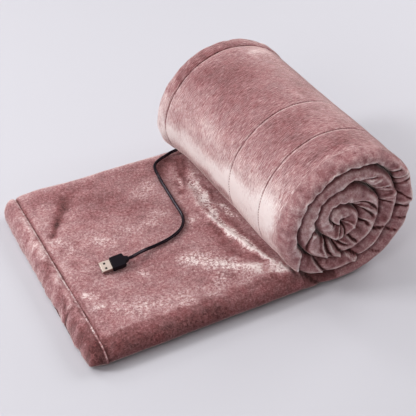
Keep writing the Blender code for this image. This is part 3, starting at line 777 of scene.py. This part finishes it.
def finished_mesh(name, bm, finish):
    """A smooth-shaded piece from a mesh in the making, with its finish."""
    mesh = bpy.data.meshes.new(name)
    bm.to_mesh(mesh)
    bm.free()
    mesh.materials.append(finish)
    mesh.shade_smooth()
    piece = bpy.data.objects.new(name.replace(" ", "_"), mesh)
    bpy.context.scene.collection.objects.link(piece)
    return piece


# ======== thread ========

def make_stitches(name, line, finish):
    """Short round-ended stitches along a line of points that lie a stitch spacing apart."""
    bm = bmesh.new()
    for start, after in zip(line, line[1:]):
        run = (after - start).normalized() * STITCH_LENGTH
        turn = run.to_track_quat("Z", "Y").to_matrix().to_4x4()
        shape = Matrix.Diagonal((THREAD_WIDTH / 2, THREAD_WIDTH / 2, STITCH_LENGTH / 2, 1))
        place = Matrix.Translation(start + run / 2) @ turn @ shape
        bmesh.ops.create_icosphere(bm, subdivisions=1, radius=1, matrix=place)
    return finished_mesh(name, bm, finish)


def even_line(points, spacing):
    """Points of a line, a spacing apart."""
    even = [points[0]]
    for point in points[1:]:
        while (point - even[-1]).length >= spacing:
            even.append(even[-1] + (point - even[-1]).normalized() * spacing)
    return even


def roll_stitch_line(stations, y):
    """The line of a seam round the roll's outer face, from near the floor to the pinch."""
    points = []
    for station in stations:
        if station.angle is not None and SEAM_ANGLES[0] < station.angle < SEAM_ANGLES[1]:
            point = cloth_point(station, ("outer", y, 0.0, 0))
            points.append(point - station.inward * THREAD_SUNK + Vector((0, SEAM_SIDE_STEP, 0)))
    return even_line(points, STITCH_SPACING)


def hem_stitch_line(stations):
    """The line of the end hem's seam across the tail's top."""
    on_tail = [station for station in stations if station.angle is None]
    seam = min(on_tail, key=lambda station: abs(station.outer.x - TAIL_END_X - END_HEM))
    on_top = Vector((-SEAM_SIDE_STEP, 0, SEAM_SIDE_STEP))
    places = face_places(*TOP_FACE_Y, 2 * MM)
    points = [cloth_point(seam, ("inner", y, 1.0, 3)) + on_top for y in places]
    return even_line(points, STITCH_SPACING)


# ======== the lead ========

def smooth_route(points, step):
    """Even points on a smooth curve through the route's own points."""
    ends = [2 * points[0] - points[1]] + points + [2 * points[-1] - points[-2]]
    fine = [points[0]]
    for a, b, c, d in zip(ends, ends[1:], ends[2:], ends[3:]):
        fine += [catmull(a, b, c, d, k / 16) for k in range(1, 17)]
    length = sum((q - p).length for p, q in zip(fine, fine[1:]))
    spacing = length / round(length / step)
    even = [fine[0]]
    walked = 0.0
    for p, q in zip(fine, fine[1:]):
        run = (q - p).length
        while walked + run >= spacing * len(even) and len(even) < round(length / spacing):
            even.append(p.lerp(q, (spacing * len(even) - walked) / run))
        walked += run
    return even + [fine[-1]]


def make_lead(finish):
    """The lead as a round curve, from under the roll's far end to the plug's neck."""
    plug = Matrix.Translation(PLUG_FRONT) @ PLUG_TURN.to_matrix().to_4x4()
    neck_end = plug @ Vector((-PLUG_BODY_LENGTH - PLUG_NECK_LENGTH - CLEARANCE, 0, 0))
    straight_end = plug @ Vector((-PLUG_BODY_LENGTH - PLUG_NECK_LENGTH - 4 * MM, 0, 0))
    route = [Vector(point) * MM for point in CORD_ROUTE_MM] + [straight_end]
    points = smooth_route(route, CORD_SPACING) + [neck_end]
    curve = bpy.data.curves.new("lead", "CURVE")
    curve.dimensions = "3D"
    curve.bevel_depth = CORD_DIAMETER / 2
    curve.bevel_resolution = 6
    curve.use_fill_caps = True
    spline = curve.splines.new("POLY")
    spline.points.add(len(points) - 1)
    for target, point in zip(spline.points, points):
        target.co = (*point, 1)
    spline.use_smooth = True
    curve.materials.append(finish)
    lead = bpy.data.objects.new("lead", curve)
    bpy.context.scene.collection.objects.link(lead)
    length = sum((b - a).length for a, b in zip(points, points[1:]))
    return lead, points[0], length


# ======== finishes ========

def linear(hex_code):
    """Linear colour of a #RRGGBB sRGB code."""
    parts = [int(hex_code[i:i + 2], 16) / 255 for i in (1, 3, 5)]
    return [c / 12.92 if c <= 0.04045 else ((c + 0.055) / 1.055) ** 2.4 for c in parts] + [1.0]


def new_finish(name, values):
    """A material with the shader's plain values, its node tree and its shader."""
    finish = bpy.data.materials.new(name)
    finish.use_nodes = True
    shader = finish.node_tree.nodes["Principled BSDF"]
    for socket, value in values.items():
        shader.inputs[socket].default_value = value
    return finish, finish.node_tree, shader


def add(tree, kind, sockets, **settings):
    """Adds a node; each socket gets a value, another node's output, or its first one."""
    node = tree.nodes.new("ShaderNode" + kind)
    for name, value in settings.items():
        setattr(node, name, value)
    for key, value in sockets.items():
        if isinstance(value, bpy.types.Node):
            value = value.outputs[0]
        if isinstance(value, bpy.types.NodeSocket):
            tree.links.new(value, node.inputs[key])
        else:
            node.inputs[key].default_value = value
    return node


def plush_finish():
    """Brushed polyester plush: short dense pile, pale where it stands up, with painted highlights on crests
    and lit faces.

    It is deep rose where the pile lies down, with painted shade in creases and on shaded sides, and frosted
    at grazing angles.
    """
    finish, tree, shader = new_finish("brushed polyester plush, dusty rose", {
        "Roughness": 0.9, "Specular IOR Level": 0.15, "Sheen Weight": 1.0, "Sheen Roughness": 0.3,
        "Sheen Tint": linear("#EFD6D2")})
    place = add(tree, "TexCoord", {}).outputs["Object"]
    lay = add(tree, "UVMap", {}, uv_map="cloth_lay")
    # painted highlight on crests and lips, painted shade in creases
    crest_and_crease_light = add(tree, "Attribute", {}, attribute_name="crest_highlight_crease_shade").outputs["Fac"]
    nap_and_light = add(tree, "Attribute", {}, attribute_name="pile_nap_and_painted_light").outputs["Fac"]

    # uneven lie of the pile, in patches 28 mm and 8 mm wide
    wide = add(tree, "TexNoise", {"Vector": place, "Scale": 1 / (28 * MM), "Detail": 2.0,
                                  "Roughness": 0.55})
    small = add(tree, "TexNoise", {"Vector": place, "Scale": 1 / (8 * MM), "Detail": 3.0,
                                   "Roughness": 0.65})
    # curls of ruffled pile, 2.8 mm wide, and on the roll's outer face streaks of combed pile, 7 mm
    # long and 0.9 mm wide; real hairs are too fine to show, so both are drawn coarser
    curls = add(tree, "TexNoise", {"Vector": place, "Scale": 1 / (2.8 * MM), "Detail": 3.0,
                                   "Roughness": 0.7, "Distortion": 0.6})
    stretched = add(tree, "Mapping", {"Vector": lay, "Scale": (1 / (7 * MM), 1 / (0.9 * MM), 1.0)})
    hairs = add(tree, "TexNoise", {"Vector": stretched, "Scale": 1.0, "Detail": 1.5,
                                   "Roughness": 0.65})
    streaks = add(tree, "MapRange", {"Value": hairs, "From Min": 0.22, "From Max": 0.78})
    ruffled = add(tree, "MapRange", {"Value": curls, "From Min": 0.19, "From Max": 0.81})
    # metres along the cloth, where the tail ends, and across it, where the near fold begins
    parts = add(tree, "SeparateXYZ", {"Vector": lay}).outputs
    past_tail = add(tree, "MapRange", {"Value": parts["X"], "From Min": 0.24, "From Max": 0.30})
    off_fold = add(tree, "MapRange", {"Value": parts["Y"], "From Min": 0.268, "From Max": 0.256})
    combed = add(tree, "Math", {0: past_tail, 1: off_fold}, operation="MULTIPLY")
    grain = add(tree, "Mix", {"Factor": past_tail, 2: ruffled, 3: curls}, data_type="FLOAT")
    grain = add(tree, "Mix", {"Factor": combed, 2: grain, 3: streaks}, data_type="FLOAT")
    # where the pile is brushed up or painted pale, its curls stand apart
    paler_part = add(tree, "Math", {0: nap_and_light, 1: 0.0}, operation="MAXIMUM")
    apart = add(tree, "MapRange", {"Value": curls, "From Min": 0.38, "From Max": 0.62,
                                   "To Min": -0.8, "To Max": 0.8})
    loose = add(tree, "Mix", {"Factor": past_tail, 2: apart, 3: 0.0}, data_type="FLOAT")
    # tufts, drawn 1.2 mm wide
    tufts = add(tree, "TexNoise", {"Vector": place, "Scale": 1 / (1.2 * MM), "Detail": 1.0,
                                   "Roughness": 0.6})

    paleness = add(tree, "Math", {0: paler_part, 1: loose, 2: nap_and_light}, operation="MULTIPLY_ADD")
    # the crest and crease term adds painted highlights and painted shade
    shares = ((wide, 0.42), (small, 0.30), (grain, 1.00), (tufts, 0.64), (crest_and_crease_light, 3.4))
    for pattern, share in shares:
        paleness = add(tree, "Math", {0: pattern, 1: share, 2: paleness}, operation="MULTIPLY_ADD")
    depth = add(tree, "MapRange", {"Value": paleness, "From Min": 0.06, "From Max": 2.14})
    # the ramp's pale end also carries the painted highlights, its deep end the painted shade
    ramp = add(tree, "ValToRGB", {"Fac": depth})
    tones = ramp.color_ramp.elements
    tones[0].position, tones[0].color = 0.08, linear("#4A2A2A")
    tones[1].position, tones[1].color = 1.0, linear("#F3E6E4")
    middle = ((0.34, "#7D4F50"), (0.5, "#9C6D70"), (0.66, "#BD9898"), (0.82, "#DCC5C4"))
    for position, tone in middle:
        tones.new(position).color = linear(tone)
    # the dye looks greyer where the pile stands up
    greying = add(tree, "TexNoise", {"Vector": place, "Scale": 1 / (14 * MM), "Detail": 4.0,
                                     "Roughness": 0.75})
    strength = add(tree, "MapRange", {"Value": greying, "From Min": 0.35, "From Max": 0.65,
                                      "To Min": 0.90, "To Max": 1.08})
    dyed = add(tree, "HueSaturation", {"Color": ramp, "Saturation": strength})
    tree.links.new(dyed.outputs["Color"], shader.inputs["Base Color"])

    height = add(tree, "Math", {0: tufts, 1: 0.7, 2: grain}, operation="MULTIPLY_ADD")
    fine = add(tree, "Bump", {"Height": height, "Strength": 0.6, "Distance": 0.7 * MM})
    coarse = add(tree, "Bump", {"Height": small, "Strength": 0.4, "Distance": 1.6 * MM,
                                "Normal": fine})
    tree.links.new(coarse.outputs["Normal"], shader.inputs["Normal"])
    return finish


def mottled_finish(name, size, tones, values, detail=2.0):
    """A finish that wanders between two tones in specks of a size, and the specks' pattern."""
    finish, tree, shader = new_finish(name, values)
    place = add(tree, "TexCoord", {}).outputs["Object"]
    specks = add(tree, "TexNoise", {"Vector": place, "Scale": 1 / size, "Detail": detail})
    tone = add(tree, "Mix", {"Factor": specks, 6: linear(tones[0]), 7: linear(tones[1])},
               data_type="RGBA")
    tree.links.new(tone.outputs[2], shader.inputs["Base Color"])
    return finish, tree, shader, specks


def thread_finish():
    """Spun polyester sewing thread: slightly shiny, a shade deeper than the plush.

    Its twist is drawn 0.5 mm wide, coarser than the real one, so that it shows.
    """
    return mottled_finish("spun polyester thread, rose", 0.5 * MM, ("#8E6266", "#B58D90"),
                          {"Roughness": 0.5}, detail=1.0)[0]


def cord_finish():
    """Extruded soft PVC jacket: near black, glossy, with a thin highlight along it."""
    finish, tree, shader, skin = mottled_finish(
        "extruded PVC jacket, black", 3 * MM, ("#0C070E", "#130C15"),
        {"IOR": 1.53, "Specular IOR Level": 0.4, "Specular Tint": linear("#DCC8DE")})
    gloss = add(tree, "MapRange", {"Value": skin, "To Min": 0.07, "To Max": 0.09})
    tree.links.new(gloss.outputs["Result"], shader.inputs["Roughness"])
    return finish


def plug_finish():
    """Injection-moulded PVC: near black, finely spark-eroded, so it is matt with soft edges."""
    finish, tree, shader, grain = mottled_finish(
        "moulded PVC, black", 0.4 * MM, ("#100A12", "#171019"),
        {"Roughness": 0.55, "IOR": 1.53, "Specular IOR Level": 0.1})
    bump = add(tree, "Bump", {"Height": grain, "Strength": 0.3, "Distance": 0.1 * MM})
    tree.links.new(bump.outputs["Normal"], shader.inputs["Normal"])
    return finish


def tongue_finish():
    """Injection-moulded nylon: near black with a soft gloss, the plug's contact carrier."""
    return mottled_finish("moulded nylon, black", 0.5 * MM, ("#120E13", "#1B161C"),
                          {"Roughness": 0.6, "IOR": 1.53})[0]


def sleeve_finish():
    """Nickel-plated pressed steel: warm silver, faintly brushed along the plug."""
    finish, tree, shader = new_finish("nickel-plated steel", {"Metallic": 1.0})
    place = add(tree, "TexCoord", {}).outputs["Object"]
    drawn = add(tree, "Mapping", {"Vector": place,
                                  "Scale": (1 / (6 * MM), 1 / (0.3 * MM), 1 / (0.3 * MM))})
    lines = add(tree, "TexNoise", {"Vector": drawn, "Scale": 1.0, "Detail": 2.0})
    gloss = add(tree, "MapRange", {"Value": lines, "To Min": 0.22, "To Max": 0.40})
    tone = add(tree, "Mix", {"Factor": lines, 6: linear("#C0AEA5"), 7: linear("#D6C6BC")},
               data_type="RGBA")
    tree.links.new(tone.outputs[2], shader.inputs["Base Color"])
    tree.links.new(gloss.outputs["Result"], shader.inputs["Roughness"])
    return finish


# ======== stage ========

def make_floor():
    """A plain pale floor, matt."""
    bm = bmesh.new()
    bmesh.ops.create_grid(bm, x_segments=1, y_segments=1, size=FLOOR_HALF)
    finish = new_finish("pale matt floor", {"Base Color": linear("#C8C7CE"), "Roughness": 0.9,
                                            "Specular IOR Level": 0.1})[0]
    floor = finished_mesh("floor", bm, finish)
    floor.location.z = -FLOOR_DROP


def add_softbox(name, place, aim, size, power):
    """A square soft light at a place, turned towards a point."""
    light = bpy.data.lights.new(name, "AREA")
    light.shape = "SQUARE"
    light.size = size
    light.energy = power
    lamp = bpy.data.objects.new(name, light)
    lamp.location = place
    lamp.rotation_euler = (Vector(aim) - Vector(place)).to_track_quat("-Z", "Y").to_euler()
    bpy.context.scene.collection.objects.link(lamp)


def light_stage():
    """Soft studio light: a main one from the left, weaker ones above, in front, behind and right."""
    add_softbox("window light", (-1.5, 0.55, 1.2), (0.0, 0.0, 0.05), 0.5, 18.5)
    add_softbox("top light", (-0.3, 0.6, 1.9), (0.0, 0.0, 0.0), 2.2, 15)
    add_softbox("front light", (-1.1, -0.7, 1.0), (0.1, -0.1, 0.05), 0.6, 5.5)
    add_softbox("back light", (-0.55, 1.35, 1.05), (0.0, 0.0, 0.0), 0.35, 4.5)
    add_softbox("fill light", (1.7, 0.2, 1.1), (0.25, 0.0, 0.0), 1.4, 26)
    world = bpy.data.worlds.new("pale room")
    world.use_nodes = True
    surround = world.node_tree.nodes["Background"].inputs
    surround["Color"].default_value = linear("#F4EFEC")
    surround["Strength"].default_value = 0.27
    bpy.context.scene.world = world


def place_camera():
    """The camera at the photo's place; the standard view keeps the plush from greying."""
    camera = bpy.data.cameras.new("camera")
    camera.lens = CAMERA_LENS
    camera.sensor_width = 36
    camera.clip_start = 0.01
    eye = bpy.data.objects.new("camera", camera)
    eye.location = CAMERA_PLACE
    eye.rotation_euler = CAMERA_LOOK.to_track_quat("-Z", "Y").to_euler()
    bpy.context.scene.collection.objects.link(eye)
    bpy.context.scene.camera = eye
    bpy.context.scene.view_settings.view_transform = "Standard"


# ======== put together ========

place_camera()

lead, lead_exit, lead_length = make_lead(cord_finish())
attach(lead, BODY)
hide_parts("cord")
plug_pieces = [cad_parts[node] for node in ("plug_body", "plug_shell", "plug_tongue")]
for plug_piece, finish in zip(plug_pieces, (plug_finish(), sleeve_finish(), tongue_finish())):
    plug_piece.data.materials.clear()
    plug_piece.data.materials.append(finish)

strip = all_stations()
cloth = make_cloth(strip, section(), plush_finish())
thread = thread_finish()
stitches = [make_stitches("end_hem_stitches", hem_stitch_line(strip), thread)]
stitches.append(make_stitches("side_hem_stitches", roll_stitch_line(strip, HEM_SEAM_Y), thread))
for number, line in enumerate(SEWN_LINES_Y, start=1):
    seam = roll_stitch_line(strip, line)
    stitches.append(make_stitches(f"wire_channel_stitches_{number}", seam, thread))
for piece in [cloth] + stitches:
    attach(piece, BODY)
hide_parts("blanket")

make_floor()
light_stage()
